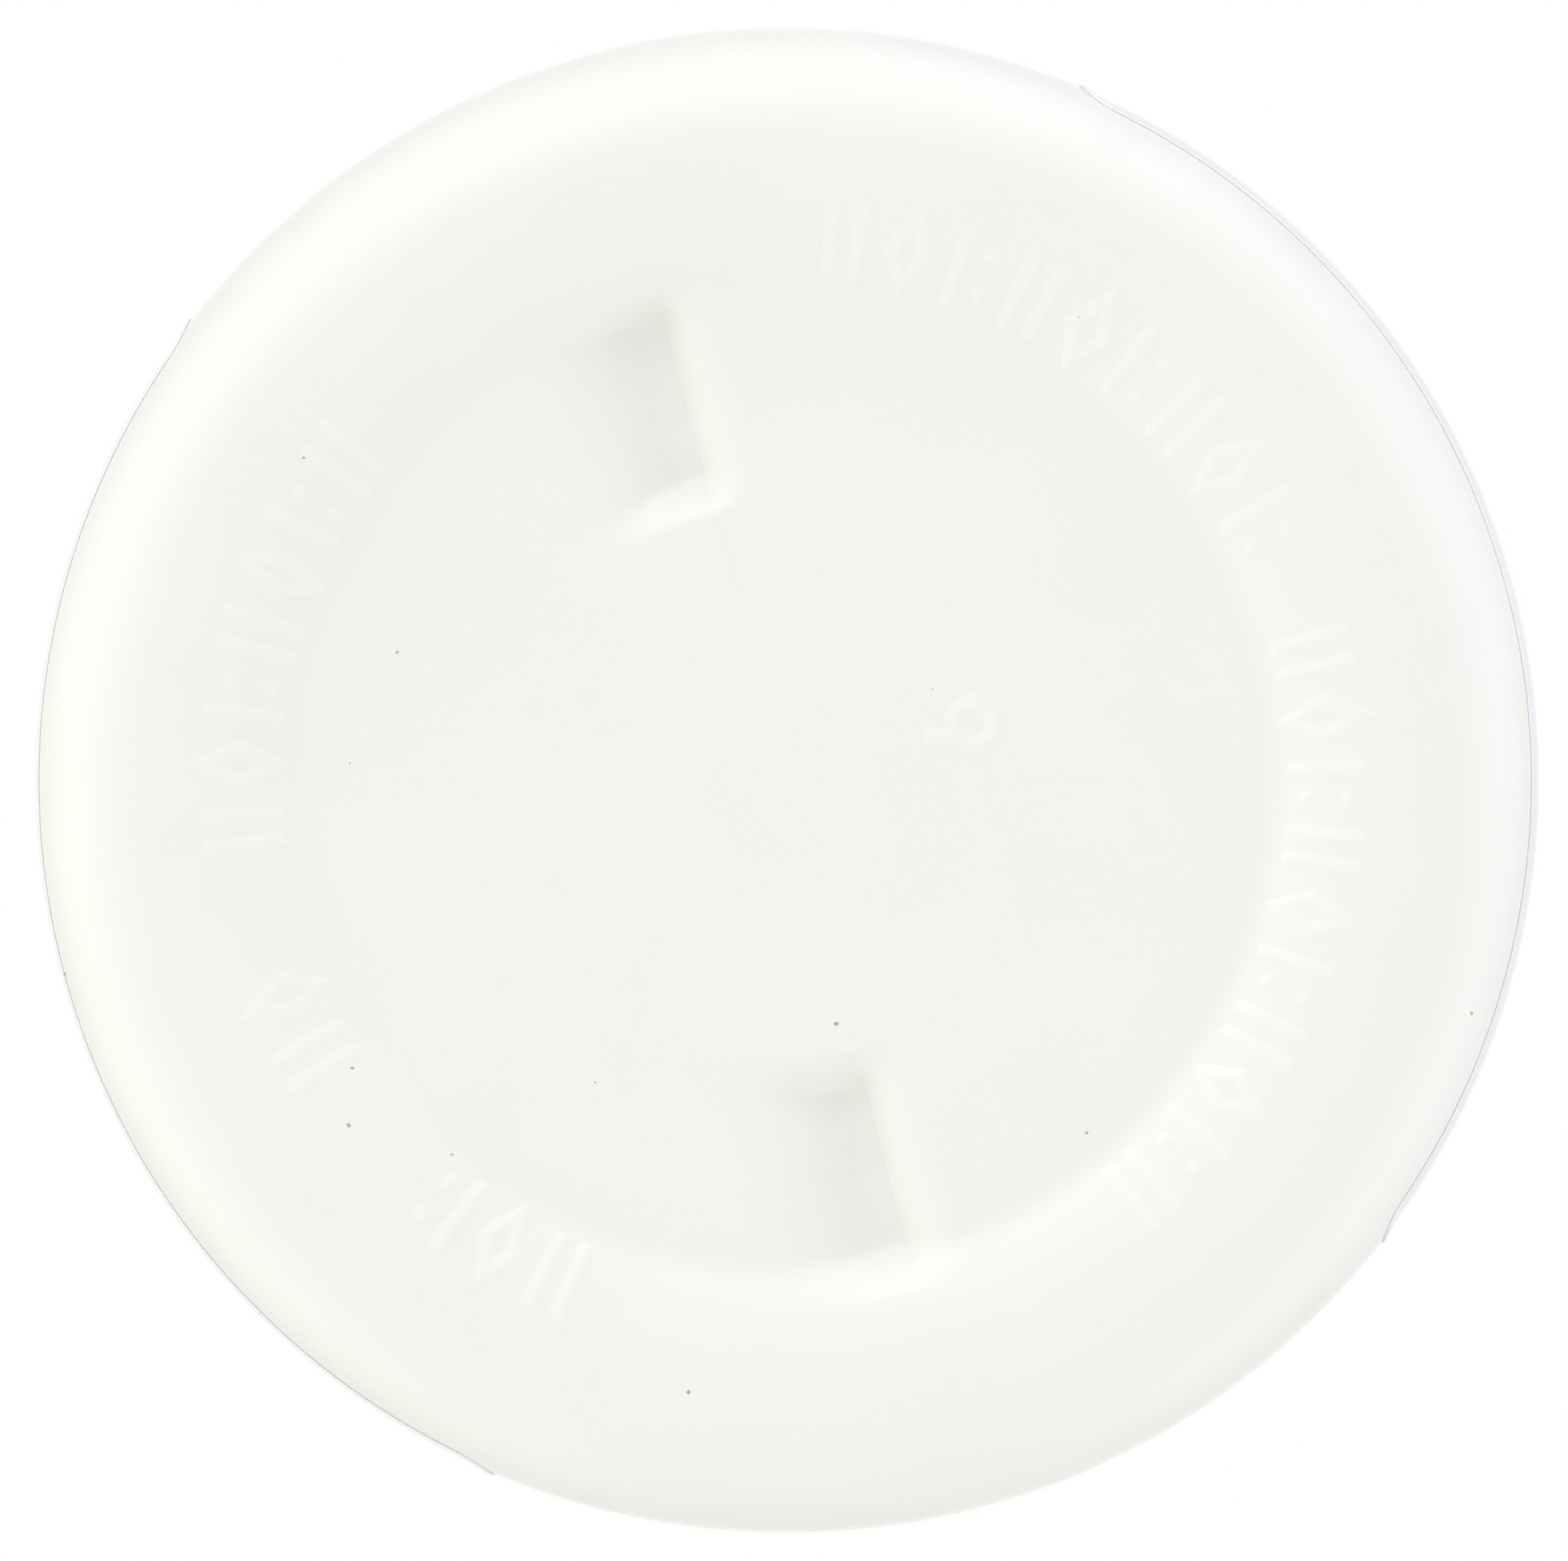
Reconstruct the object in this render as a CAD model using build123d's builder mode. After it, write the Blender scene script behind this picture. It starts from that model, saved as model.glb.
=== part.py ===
"""Shaving soap tub: a blow-moulded wide-mouth jar, the soap puck in it, a lined screw cap and two labels.

Millimetres and degrees. +Z points up through the mouth, and the origin is the centre of the ring that the
jar stands on. The two mould halves meet in a plane through Z, turned parting_angle from +X.
"""

import os
from math import asin, cos, degrees, radians, sin, sqrt

from build123d import *

# Jar body
body_radius = 38.85
body_wall = 1.25
heel_radius = 6.25
shoulder_radius = 4.5
shoulder_height = 45.5

# Underside: a flat panel, a soft roll down to the standing ring, and the heel outside it
panel_radius = 25.3
panel_thickness = 2.6
roll_radius = 15.0
stand_inner_radius = 32.0
trough_height = 1.3
floor_radius = 27.0
parting_angle = 75.3

# Register notches: a ramp down to the parting line and a short steep wall back up
notch_inner_radius = 15.2
notch_outer_radius = 25.7
notch_depth = 1.6
notch_sweep = 25.0
notch_wall_run = 2.3

# Raised marks: plain bars, lozenges and dots on the roll, a ring and a dash on the panel
mark_height = 0.07
mark_inner_radius = 25.6
mark_outer_radius = 30.2
mark_stroke = 0.7
mark_pitch = 6.9
mark_groups = ((-83.5, 9), (-13.5, 10), (114.5, 3), (149.5, 2), (174.8, 7))
cavity_ring_place = (9.7, -3.0)
cavity_ring_radius = 1.4
cavity_dash_place = (8.3, -2.3)
parting_line_width = 0.3

# Neck: a wide single-start finish
neck_radius = 33.65
neck_height = 10.3
bore_radius = 31.9
rim_chamfer = 0.4
thread_pitch = 25.4 / 6
thread_turns = 1.25
thread_depth = 1.1
thread_root_width = 2.2
thread_crest_width = 0.9
thread_top_below_rim = 2.2
thread_overlap = 0.35

# Screw cap and its liner
cap_radius = 36.6
cap_wall = 1.6
cap_top_thickness = 1.5
cap_edge_radius = 1.2
cap_shoulder_gap = 0.9
cap_recess_radius = 32.0
cap_recess_depth = 0.3
cap_thread_turns = 1.0
cap_thread_start = 95.0
cap_thread_depth = 1.05
cap_thread_root_width = 1.9
cap_thread_crest_width = 0.8
cap_thread_drop = 1.5
rib_count = 120
rib_groove_radius = 0.45
rib_top_gap = 2.4
liner_radius = 34.8
liner_thickness = 1.0
liner_gap = 0.05

# Soap puck
puck_radius = 31.0
puck_height = 30.0
puck_edge_radius = 1.6
puck_gap = 0.05
dish_radius = 22.0
dish_depth = 1.2
pressed_ring_radius = 26.0
pressed_ring_width = 1.2
pressed_ring_depth = 0.5

# Labels, one on each mould half
label_thickness = 0.1
label_glue_gap = 0.02
label_bottom = 4.6
label_top = 39.8
label_half_angle = 52.5
label_corner_radius = 2.5

# Heights and radii worked out from the dimensions above
stand_outer_radius = body_radius - heel_radius
roll_angle = degrees(asin((stand_inner_radius - panel_radius) / roll_radius))
panel_height = roll_radius * (1 - cos(radians(roll_angle)))
floor_height = panel_height + panel_thickness
rim_height = shoulder_height + neck_height
wall_top = shoulder_height - shoulder_radius
inner_radius = body_radius - body_wall
inner_heel_radius = inner_radius - stand_outer_radius
inner_shoulder_height = shoulder_height - trough_height
inner_shoulder_centre = inner_radius - shoulder_radius
mark_centre_radius = (mark_inner_radius + mark_outer_radius) / 2
mark_length = mark_outer_radius - mark_inner_radius
thread_bottom = rim_height - thread_top_below_rim - thread_turns * thread_pitch
cap_bottom = shoulder_height + cap_shoulder_gap
cap_ceiling = rim_height + liner_thickness + 2 * liner_gap
cap_top = cap_ceiling + cap_top_thickness
cap_inner_radius = cap_radius - cap_wall
puck_bottom = floor_height + puck_gap
puck_top = puck_bottom + puck_height

os.makedirs("parts", exist_ok=True)


def roll_height(radius, lowered=0.0):
    """Height of the roll at a radius, or of the same roll lowered by a skin of that thickness."""
    return roll_radius - sqrt((roll_radius + lowered) ** 2 - (stand_inner_radius - radius) ** 2)


def helical_ridge(radius, outward, depth, root_width, crest_width, bottom, start_angle, turns):
    """A right-hand trapezoid ridge round Z. It passes the angle 0 at the height bottom."""
    side = 1 if outward else -1
    start_height = bottom + thread_pitch * start_angle / 360
    with BuildPart() as ridge:
        with BuildLine():
            path = Helix(thread_pitch, turns * thread_pitch, radius, center=(0, 0, start_height))
        with BuildSketch(Plane(origin=path @ 0, x_dir=(side, 0, 0), z_dir=path % 0)):
            with BuildLine():
                Polyline((-thread_overlap, -root_width / 2), (0, -root_width / 2), (depth, -crest_width / 2),
                         (depth, crest_width / 2), (0, root_width / 2), (-thread_overlap, root_width / 2),
                         close=True)
            make_face()
        sweep(path=path, is_frenet=True)
    return ridge.part.rotate(Axis.Z, start_angle)


# One register notch, with its parting line along +X. The ramp falls from the notch_sweep side.
ramp_rise = notch_depth / ((notch_inner_radius + notch_outer_radius) / 2)
ramp_slope = ramp_rise / sin(radians(notch_sweep))
with BuildPart() as notch_ramp:
    with BuildSketch(Plane.XY):
        with BuildLine():
            outer = CenterArc((0, 0), notch_outer_radius, 0, notch_sweep)
            inner = CenterArc((0, 0), notch_inner_radius, 0, notch_sweep)
            Line(inner @ 0, outer @ 0)
            Line(inner @ 1, outer @ 1)
        make_face()
    extrude(amount=2 * floor_height)
    split(bisect_by=Plane(origin=(0, 0, panel_height),
                          z_dir=(-ramp_rise, ramp_slope * cos(radians(notch_sweep)), 1)), keep=Keep.BOTTOM)

with BuildPart() as notch_wall:
    with BuildSketch(Plane.XY):
        with BuildLine():
            Polyline((notch_inner_radius, 0), (notch_outer_radius, 0), (notch_outer_radius, -2 * notch_wall_run),
                     (notch_inner_radius, -2 * notch_wall_run), close=True)
        make_face()
    extrude(amount=2 * floor_height)
    split(bisect_by=Plane(origin=(0, 0, panel_height),
                          z_dir=(-ramp_rise, -notch_depth / notch_wall_run, 1)), keep=Keep.BOTTOM)

notch = notch_ramp.part + notch_wall.part
near_notch = notch.rotate(Axis.Z, parting_angle)
far_notch = notch.mirror(Plane.XZ).rotate(Axis.Z, parting_angle - 180)

# The raised marks: a thin skin over the roll, kept where the plan of the marks covers it.
with BuildPart() as roll_marks:
    with BuildSketch(Plane.XZ):
        with BuildLine():
            low_arc = RadiusArc((mark_inner_radius, roll_height(mark_inner_radius, mark_height)),
                                (mark_outer_radius, roll_height(mark_outer_radius, mark_height)),
                                roll_radius + mark_height)
            Polyline(low_arc @ 0, (mark_inner_radius, panel_height), (mark_outer_radius, mark_stroke), low_arc @ 1)
        make_face()
    revolve(axis=Axis.Z)
    with BuildSketch(Plane.XY) as mark_plan:
        for first_angle, count in mark_groups:
            for place in range(count):
                with PolarLocations(mark_centre_radius, 1, start_angle=first_angle + place * mark_pitch):
                    if place % 3 == 0:
                        with GridLocations(1, 2 * mark_stroke, 1, 2):
                            SlotOverall(mark_length, mark_stroke)
                    elif place % 3 == 1:
                        with GridLocations(mark_length / 2, 1, 2, 1):
                            RegularPolygon(mark_stroke, 4)
                    else:
                        with GridLocations(mark_length / 3, 1, 3, 1):
                            Circle(mark_stroke / 2)
        with PolarLocations(mark_centre_radius, 2, start_angle=parting_angle):
            Rectangle(mark_length, parting_line_width)
    extrude(amount=floor_height, mode=Mode.INTERSECT)

neck_thread = helical_ridge(neck_radius, True, thread_depth, thread_root_width, thread_crest_width,
                            thread_bottom, 0, thread_turns)

with BuildPart() as jar_body:
    with BuildSketch(Plane.XZ):
        with BuildLine():
            Line((0, panel_height), (panel_radius, panel_height))
            roll = CenterArc((stand_inner_radius, roll_radius), roll_radius, 270 - roll_angle, roll_angle)
            Line(roll @ 1, (stand_outer_radius, 0))
            heel = CenterArc((stand_outer_radius, heel_radius), heel_radius, 270, 90)
            shoulder = CenterArc((body_radius - shoulder_radius, wall_top), shoulder_radius, 0, 90)
            Line(heel @ 1, shoulder @ 0)
            Polyline(shoulder @ 1, (neck_radius, shoulder_height), (neck_radius, rim_height - rim_chamfer),
                     (neck_radius - rim_chamfer, rim_height), (bore_radius + rim_chamfer, rim_height),
                     (bore_radius, rim_height - rim_chamfer), (bore_radius, inner_shoulder_height),
                     (inner_shoulder_centre, inner_shoulder_height))
            inner_shoulder = CenterArc((inner_shoulder_centre, inner_shoulder_height - shoulder_radius),
                                       shoulder_radius, 0, 90)
            inner_heel = CenterArc((stand_outer_radius, trough_height + inner_heel_radius), inner_heel_radius,
                                   270, 90)
            Line(inner_shoulder @ 0, inner_heel @ 1)
            Polyline(inner_heel @ 0, (stand_inner_radius - trough_height, trough_height),
                     (floor_radius, floor_height), (0, floor_height), (0, panel_height))
        make_face()
    revolve(axis=Axis.Z)
    add(near_notch, mode=Mode.SUBTRACT)
    add(far_notch, mode=Mode.SUBTRACT)
    add(roll_marks.part)
    with BuildSketch(Plane.XY.offset(panel_height)):
        with Locations(cavity_ring_place):
            Circle(cavity_ring_radius)
            Circle(cavity_ring_radius - mark_stroke, mode=Mode.SUBTRACT)
        with Locations(cavity_dash_place):
            SlotOverall(3 * mark_stroke, mark_stroke)
        with PolarLocations(notch_inner_radius * 5 / 6, 2, start_angle=parting_angle):
            Rectangle(notch_inner_radius / 3, parting_line_width)
    extrude(amount=-mark_height)
    add(neck_thread)
jar_body.part.label = "jar_body"

cap_thread = helical_ridge(cap_inner_radius, False, cap_thread_depth, cap_thread_root_width,
                           cap_thread_crest_width, thread_bottom - cap_thread_drop, cap_thread_start,
                           cap_thread_turns)

with BuildPart() as screw_cap:
    with BuildSketch(Plane.XZ):
        with BuildLine():
            edge = CenterArc((cap_radius - cap_edge_radius, cap_top - cap_edge_radius), cap_edge_radius, 0, 90)
            Polyline(edge @ 0, (cap_radius, cap_bottom), (cap_inner_radius, cap_bottom),
                     (cap_inner_radius, cap_ceiling), (0, cap_ceiling), (0, cap_top - cap_recess_depth),
                     (cap_recess_radius, cap_top - cap_recess_depth),
                     (cap_recess_radius + cap_recess_depth, cap_top), edge @ 1)
        make_face()
    revolve(axis=Axis.Z)
    with BuildSketch(Plane.XY.offset(cap_bottom)):
        with PolarLocations(cap_radius, rib_count):
            Circle(rib_groove_radius)
    extrude(amount=cap_top - rib_top_gap - cap_bottom, mode=Mode.SUBTRACT)
    add(cap_thread)
screw_cap.part.label = "screw_cap"

with BuildPart() as cap_liner:
    with BuildSketch(Plane.XY.offset(rim_height + liner_gap)):
        Circle(liner_radius)
    extrude(amount=liner_thickness)
cap_liner.part.label = "cap_liner"

with BuildPart() as soap_puck:
    with BuildSketch(Plane.XY.offset(puck_bottom)):
        Circle(puck_radius)
    extrude(amount=puck_height)
    fillet(soap_puck.edges().filter_by(GeomType.CIRCLE), radius=puck_edge_radius)
    with BuildSketch(Plane.XZ):
        with BuildLine():
            dish = ThreePointArc((-dish_radius, puck_top), (0, puck_top - dish_depth), (dish_radius, puck_top))
            Line(dish @ 0, dish @ 1)
        make_face()
        split(bisect_by=Plane.YZ, keep=Keep.TOP)
        with Locations((pressed_ring_radius, puck_top)):
            Rectangle(pressed_ring_width, 2 * pressed_ring_depth)
    revolve(axis=Axis.Z, mode=Mode.SUBTRACT)
soap_puck.part.label = "soap_puck"

label_inner_radius = body_radius + label_glue_gap
with BuildPart() as label_blank:
    with BuildSketch(Plane.XZ):
        with Locations((label_inner_radius + label_thickness / 2, (label_bottom + label_top) / 2)):
            Rectangle(label_thickness, label_top - label_bottom)
    revolve(axis=Axis.Z, revolution_arc=2 * label_half_angle)
    corners = label_blank.edges().filter_by(lambda edge: edge.length < 2 * label_thickness)
    fillet(corners, radius=label_corner_radius)

front_label = label_blank.part.rotate(Axis.Z, parting_angle - 90 - label_half_angle)
back_label = front_label.rotate(Axis.Z, 180)
front_label.label = "front_label"
back_label.label = "back_label"

export_step(jar_body.part, "parts/jar_body.step")
export_step(front_label, "parts/front_label.step")
export_step(back_label, "parts/back_label.step")
export_step(soap_puck.part, "parts/soap_puck.step")
export_step(cap_liner.part, "parts/cap_liner.step")
export_step(screw_cap.part, "parts/screw_cap.step")
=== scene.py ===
# %% [markdown]
# # A shaving soap tub, seen from underneath
#
# The object is a blow-moulded jar with a pressed puck of shaving soap in it, a ribbed screw cap with a foam
# liner, and two film labels. The CAD frame already says where every part is and how it moves. This lesson
# gives each part its finished surface: the soft underside with its register notches, the thread, the ribs,
# the soap's pressed face, the printed labels, and plastics that look like plastic. It starts by loading the
# frame.

# %% Load the frame
import math

import bmesh
import bpy
import numpy as np
from mathutils import Matrix, Vector, noise


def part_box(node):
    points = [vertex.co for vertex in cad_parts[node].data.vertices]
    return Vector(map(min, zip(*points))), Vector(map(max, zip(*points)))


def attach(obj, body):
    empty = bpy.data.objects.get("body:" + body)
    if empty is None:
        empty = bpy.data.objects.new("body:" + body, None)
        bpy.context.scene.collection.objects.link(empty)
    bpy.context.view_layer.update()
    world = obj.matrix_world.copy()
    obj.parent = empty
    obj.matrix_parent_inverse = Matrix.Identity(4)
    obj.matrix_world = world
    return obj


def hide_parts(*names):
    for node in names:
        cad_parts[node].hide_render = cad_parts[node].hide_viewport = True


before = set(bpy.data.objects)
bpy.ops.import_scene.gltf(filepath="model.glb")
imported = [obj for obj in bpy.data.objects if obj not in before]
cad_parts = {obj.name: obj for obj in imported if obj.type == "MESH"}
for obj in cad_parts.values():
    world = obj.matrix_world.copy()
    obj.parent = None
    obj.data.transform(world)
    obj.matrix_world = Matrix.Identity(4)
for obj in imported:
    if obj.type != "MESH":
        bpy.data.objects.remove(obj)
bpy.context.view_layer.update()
MM = 0.001

# %% [markdown]
# ## Sizes
#
# The frame's boxes give the heights and radii that the CAD settled. Only the sizes that a box can't tell,
# such as the radius of the panel under the jar, are repeated here, in the CAD's own millimetres. One is
# changed on purpose: the notches are 1.7 mm deep here and 1.6 mm in the CAD.

# %% Read the sizes from the frame
jar_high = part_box("jar_body")[1]
cap_low, cap_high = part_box("screw_cap")
puck_low, puck_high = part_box("soap_puck")
liner_low, liner_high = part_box("cap_liner")
label_low, label_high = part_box("front_label")

body_radius = jar_high.y / MM
rim_height = jar_high.z / MM
cap_bottom, cap_top = cap_low.z / MM, cap_high.z / MM
cap_radius = cap_high.x / MM
puck_bottom, puck_top = puck_low.z / MM, puck_high.z / MM
puck_radius = puck_high.x / MM
liner_bottom, liner_top = liner_low.z / MM, liner_high.z / MM
liner_radius = liner_high.x / MM
label_bottom, label_top = label_low.z / MM, label_high.z / MM
print(f"jar {2 * body_radius:.1f} mm across, rim at {rim_height:.1f} mm, cap top at {cap_top:.1f} mm")

# %% Sizes that the boxes can't tell
parting_angle = math.radians(75.3)
panel_radius, stand_inner_radius, roll_radius = 25.3, 32.0, 15.0
heel_radius, shoulder_radius, shoulder_height = 6.25, 4.5, 45.5
body_wall, trough_height, floor_radius, panel_thickness = 1.25, 1.3, 27.0, 2.6
notch_inner_radius, notch_outer_radius, notch_depth = 15.2, 25.7, 1.7
neck_radius, bore_radius, rim_chamfer = 33.65, 31.9, 0.4
thread_pitch = 25.4 / 6
label_half_angle, label_corner_radius, label_thickness = math.radians(52.5), 2.5, 0.1
stand_outer_radius = body_radius - heel_radius
panel_height = roll_radius - math.sqrt(roll_radius**2 - (stand_inner_radius - panel_radius) ** 2)
floor_height = panel_height + panel_thickness
print(f"panel {panel_height:.2f} mm above the standing ring")

# %% [markdown]
# ## Camera
#
# The view is square on to the underside, as if the tub stood on a sheet of glass. A long lens keeps the
# base nearly free of perspective. The camera leans 1.6 degrees to one side, so that the face of the front
# label just shows past the heel there, while on the other side only the label's edge does.

# %% Camera under the tub
view_width = 80.78 * MM
lens, sensor = 600.0, 36.0
lean, lean_towards = math.radians(1.6), math.radians(-30)
aim = Vector((-0.12 * MM, 0.0, 5.0 * MM))

camera_data = bpy.data.cameras.new("camera")
camera_data.lens, camera_data.sensor_width = lens, sensor
camera_data.dof.use_dof = False
distance = view_width * lens / sensor
camera_data.clip_start, camera_data.clip_end = 0.01, 10.0
camera = bpy.data.objects.new("camera", camera_data)
bpy.context.scene.collection.objects.link(camera)
camera.location = aim + distance * Vector((math.sin(lean) * math.cos(lean_towards),
                                           math.sin(lean) * math.sin(lean_towards), -math.cos(lean)))
towards_object = (aim - camera.location).normalized()
picture_right = towards_object.cross(Vector((0, -1, 0))).normalized()
picture_up = picture_right.cross(towards_object)
camera.rotation_mode = "QUATERNION"
turn = np.array([picture_right, picture_up, -towards_object]).T
camera.rotation_quaternion = Matrix(turn.tolist()).to_quaternion()
bpy.context.scene.camera = camera
print(f"camera {distance:.2f} m below the base")

# %% [markdown]
# ## Floor and light
#
# The tub stands on a plain pale floor. From below, the floor has to be out of the way, as glass would be,
# so its material is clear on the back and it takes no part in lighting the tub. Its paint carries a painted
# shadow, darker where the tub shelters it, because so much of the light comes from below. All the light
# comes from one soft dome.

# %% Floor
floor_size = 1.6
floor_mesh = bpy.data.meshes.new("floor")
half = floor_size / 2
floor_mesh.from_pydata([(-half, -half, 0), (half, -half, 0), (half, half, 0), (-half, half, 0)], [],
                       [(0, 1, 2, 3)])
floor = bpy.data.objects.new("floor", floor_mesh)
bpy.context.scene.collection.objects.link(floor)
floor.visible_diffuse = floor.visible_glossy = floor.visible_transmission = floor.visible_shadow = False
floor_paint = bpy.data.materials.new("pale_floor")
floor_paint.use_nodes = True
nodes, links = floor_paint.node_tree.nodes, floor_paint.node_tree.links
paint = nodes["Principled BSDF"]
# Painted shadow: an ambient occlusion node darkens the floor paint where the tub shelters it.
floor_painted_shadow = nodes.new("ShaderNodeAmbientOcclusion")
floor_painted_shadow.inputs["Color"].default_value = (0.80, 0.80, 0.79, 1)
floor_painted_shadow.inputs["Distance"].default_value = 0.05
links.new(floor_painted_shadow.outputs["Color"], paint.inputs["Base Color"])
paint.inputs["Roughness"].default_value = 0.6
clear = nodes.new("ShaderNodeBsdfTransparent")
side = nodes.new("ShaderNodeNewGeometry")
either = nodes.new("ShaderNodeMixShader")
links.new(side.outputs["Backfacing"], either.inputs["Fac"])
links.new(paint.outputs["BSDF"], either.inputs[1])
links.new(clear.outputs["BSDF"], either.inputs[2])
links.new(either.outputs["Shader"], nodes["Material Output"].inputs["Surface"])
floor_mesh.materials.append(floor_paint)
print("floor", floor_size, "m")

# %% [markdown]
# ## Node helpers
#
# The light, the materials and the generators are all node trees, so three small helpers come first. One
# makes a node with its settings and inputs, and the other two make the nodes that come up most: plain sums
# and soft ramps.

# %% Node helpers
def add_node(tree, kind, inputs=None, **settings):
    """Makes a node, applies its settings, and gives each input a value or a link. Returns the node."""
    node = tree.nodes.new(kind)
    for name, value in settings.items():
        setattr(node, name, value)
    for key, source in (inputs or {}).items():
        if isinstance(source, bpy.types.NodeSocket):
            tree.links.new(source, node.inputs[key])
        else:
            node.inputs[key].default_value = source
    return node


def calc(tree, operation, *sources, clamp=False):
    """One sum of numbers and sockets. Returns its output socket."""
    return add_node(tree, "ShaderNodeMath", dict(enumerate(sources)), operation=operation,
                    use_clamp=clamp).outputs[0]


def ramp(tree, value, low, high, start=0.0, end=1.0):
    """Goes smoothly from start to end while value goes from low to high. Returns its output socket."""
    inputs = dict(enumerate((value, low, high, start, end)))
    return add_node(tree, "ShaderNodeMapRange", inputs, interpolation_type="SMOOTHSTEP").outputs[0]


print("helpers", [f.__name__ for f in (add_node, calc, ramp)])

# %% [markdown]
# ## Dome light
#
# The dome is a sum of soft patches of light, each given by how many degrees it lies below the horizon, its
# azimuth, its strength and how tightly it is gathered. Five patches stand near the horizon and round the
# heel. Two broad ones shine up from below. A weak one stands above the horizon, and the last is overhead,
# for the cap. The camera sees pure white behind the tub. The light is a little cooler on one side than the
# other.

# %% Dome light
horizon_patches = [(5, -10, 1.5, 8), (5, 40, 1.9, 8), (5, 140, 1.8, 8), (5, 190, 1.0, 8), (5, 290, 1.8, 8)]
broad_patches = [(30, 240, 2.0, 6), (60, 90, 1.3, 5), (-35, 100, 0.2, 4), (-90, 0, 2.5, 8)]
world = bpy.data.worlds.new("studio_dome")
bpy.context.scene.world = world
world.use_nodes = True
dome = world.node_tree
dome.nodes.clear()
facing = add_node(dome, "ShaderNodeTexCoord").outputs["Generated"]
strength = 0.0
for below, azimuth, bright, tight in horizon_patches + broad_patches:
    drop, turn = math.radians(below), math.radians(azimuth)
    centre = (math.cos(drop) * math.cos(turn), math.cos(drop) * math.sin(turn), -math.sin(drop))
    nearness = add_node(dome, "ShaderNodeVectorMath", {0: facing, 1: centre},
                        operation="DOT_PRODUCT").outputs[1]
    falloff = calc(dome, "EXPONENT", calc(dome, "MULTIPLY_ADD", nearness, tight, -tight))
    strength = calc(dome, "MULTIPLY_ADD", falloff, bright, strength)
east, north = add_node(dome, "ShaderNodeSeparateXYZ", {0: facing}).outputs[:2]
warmth = ramp(dome, calc(dome, "SUBTRACT", calc(dome, "MULTIPLY", north, 0.6), east), -1.0, 1.0)
tint = add_node(dome, "ShaderNodeMix", {0: warmth, 6: (0.983, 0.990, 1.028, 1), 7: (1.010, 1.004, 0.975, 1)},
                data_type="RGBA").outputs[2]
lit = add_node(dome, "ShaderNodeBackground", {"Color": tint, "Strength": strength})
seen = add_node(dome, "ShaderNodeBackground", {"Color": (1, 1, 1, 1), "Strength": 1.0})
camera_ray = add_node(dome, "ShaderNodeLightPath").outputs["Is Camera Ray"]
either = add_node(dome, "ShaderNodeMixShader", {0: camera_ray, 1: lit.outputs[0], 2: seen.outputs[0]})
add_node(dome, "ShaderNodeOutputWorld", {0: either.outputs[0]})
bpy.context.scene.view_settings.view_transform = "Standard"
print("dome of", len(horizon_patches + broad_patches), "patches")

# %% [markdown]
# ## Mesh helpers
#
# Nearly every part of the tub is turned about one axis. An outline runs from the axis at the bottom, round
# the outside and back to the axis, so that turning it makes a closed solid whose faces all look outward.
# The rings of points can be reshaped before the skin is laid over them.

# %% Turned solids
def arc(centre, radius, start, end, steps):
    """Points of an arc in an outline, in millimetres, with angles in degrees from straight outward."""
    angles = np.radians(np.linspace(start, end, steps + 1))
    return [(centre[0] + radius * math.cos(a), centre[1] + radius * math.sin(a)) for a in angles]


def turned(outline, columns, first_angle=0.0):
    """Turns an outline about the axis. Returns its points as an array of rings, columns and coordinates."""
    radii, heights = np.array(outline).T[:, :, None]
    angles = first_angle + np.arange(columns) * 2 * math.pi / columns
    return np.stack([radii * np.cos(angles), radii * np.sin(angles), heights + 0 * angles], axis=2)


def new_piece(name, points, faces):
    """Makes a smooth-shaded object from points in millimetres."""
    mesh = bpy.data.meshes.new(name)
    mesh.from_pydata((np.asarray(points) * MM).tolist(), [], faces)
    mesh.shade_smooth()
    piece = bpy.data.objects.new(name, mesh)
    bpy.context.scene.collection.objects.link(piece)
    return piece


def skinned(name, rings, bottom, top):
    """Closes rings of points with a point on the axis at each end, and lays faces over them."""
    count, columns = rings.shape[:2]
    points = np.concatenate([[(0, 0, bottom)], rings.reshape(-1, 3), [(0, 0, top)]])
    here = 1 + np.arange(count * columns).reshape(count, columns)
    beside = np.roll(here, -1, axis=1)
    quads = np.stack([here[:-1], beside[:-1], beside[1:], here[1:]], axis=-1).reshape(-1, 4).tolist()
    first_fan = [(0, b, a) for a, b in zip(here[0].tolist(), beside[0].tolist())]
    last_fan = [(len(points) - 1, a, b) for a, b in zip(here[-1].tolist(), beside[-1].tolist())]
    return new_piece(name, points, first_fan + quads + last_fan)


def report(piece):
    """Prints a piece's size, and stops if it isn't a closed solid with its faces outward."""
    shape = bmesh.new()
    shape.from_mesh(piece.data)
    volume = shape.calc_volume(signed=True)
    open_edges = sum(not edge.is_manifold for edge in shape.edges)
    triangles = sum(len(face.verts) - 2 for face in shape.faces)
    shape.free()
    assert volume > 0 and open_edges == 0, f"{piece.name}: volume {volume}, {open_edges} open edges"
    print(f"{piece.name}: {volume * 1e9:.1f} mm3, {triangles} triangles")


print("an arc has points at", [tuple(round(x, 2) for x in p) for p in arc((0, 0), 1, 0, 90, 2)])

# %% [markdown]
# ## Jar
#
# The jar's outline starts at the middle of the panel, drops over the roll to the standing ring, rounds the
# heel, climbs the wall and the shoulder to the neck, and comes back down inside. The rings are closest
# where the notches end, and the first column lies on the parting line, so that the notches' creases follow
# the mesh.

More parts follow.
